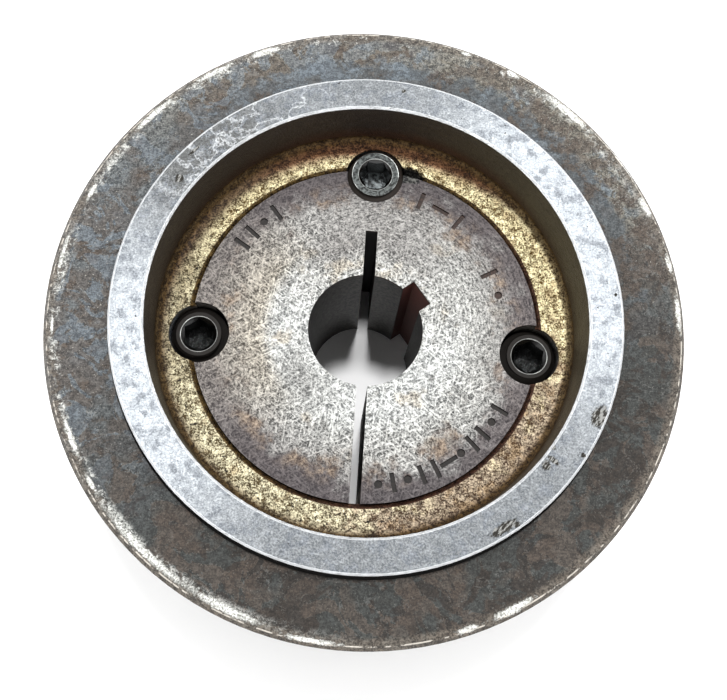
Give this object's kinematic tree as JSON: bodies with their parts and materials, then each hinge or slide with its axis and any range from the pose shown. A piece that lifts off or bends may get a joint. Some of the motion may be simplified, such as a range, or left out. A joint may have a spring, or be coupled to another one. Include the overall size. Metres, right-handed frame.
{
  "type": "v belt pulley",
  "caption": "Grooved V-belt pulley clamped on a shaft by a split taper bush with socket set screws in a front recess.",
  "frame": {"origin": "centre of the bore on the pulley's back face, which the part rests on", "axes": "+Z along the axis to the front, where the screws are reached; the split of the bush lies along -Y, the removal screw along +Y"},
  "size_m": [0.067, 0.067, 0.0298],
  "materials": {
    "pulley_iron": "dark scaly phosphate with brown rust, machined bright on the collar, oily brass-coloured patina in the recess",
    "bush_iron": "grainy grey machined face, browned towards its edge, rusty keyway",
    "screw_steel": "worn black oxide"
  },
  "bodies": {
    "pulley": {"pulley_body": "pulley_iron"},
    "bush": {"taper_bush": "bush_iron"},
    "left_lock": {"locking_screw_left": "screw_steel"},
    "right_lock": {"locking_screw_right": "screw_steel"},
    "removal": {"removal_screw": "screw_steel"}
  },
  "joints": [
    {"name": "bush_release", "type": "slide", "parent": "pulley", "child": "bush", "axis": [0, 0, 1], "range_m": [0, 0.024]},
    {"name": "left_lock_travel", "type": "slide", "parent": "bush", "child": "left_lock", "axis": [0, 0, 1], "range_m": [0, 0.014]},
    {"name": "right_lock_travel", "type": "slide", "parent": "bush", "child": "right_lock", "axis": [0, 0, 1], "range_m": [0, 0.014]},
    {"name": "removal_travel", "type": "slide", "parent": "bush", "child": "removal", "axis": [0, 0, 1], "range_m": [0, 0.014]}
  ]
}
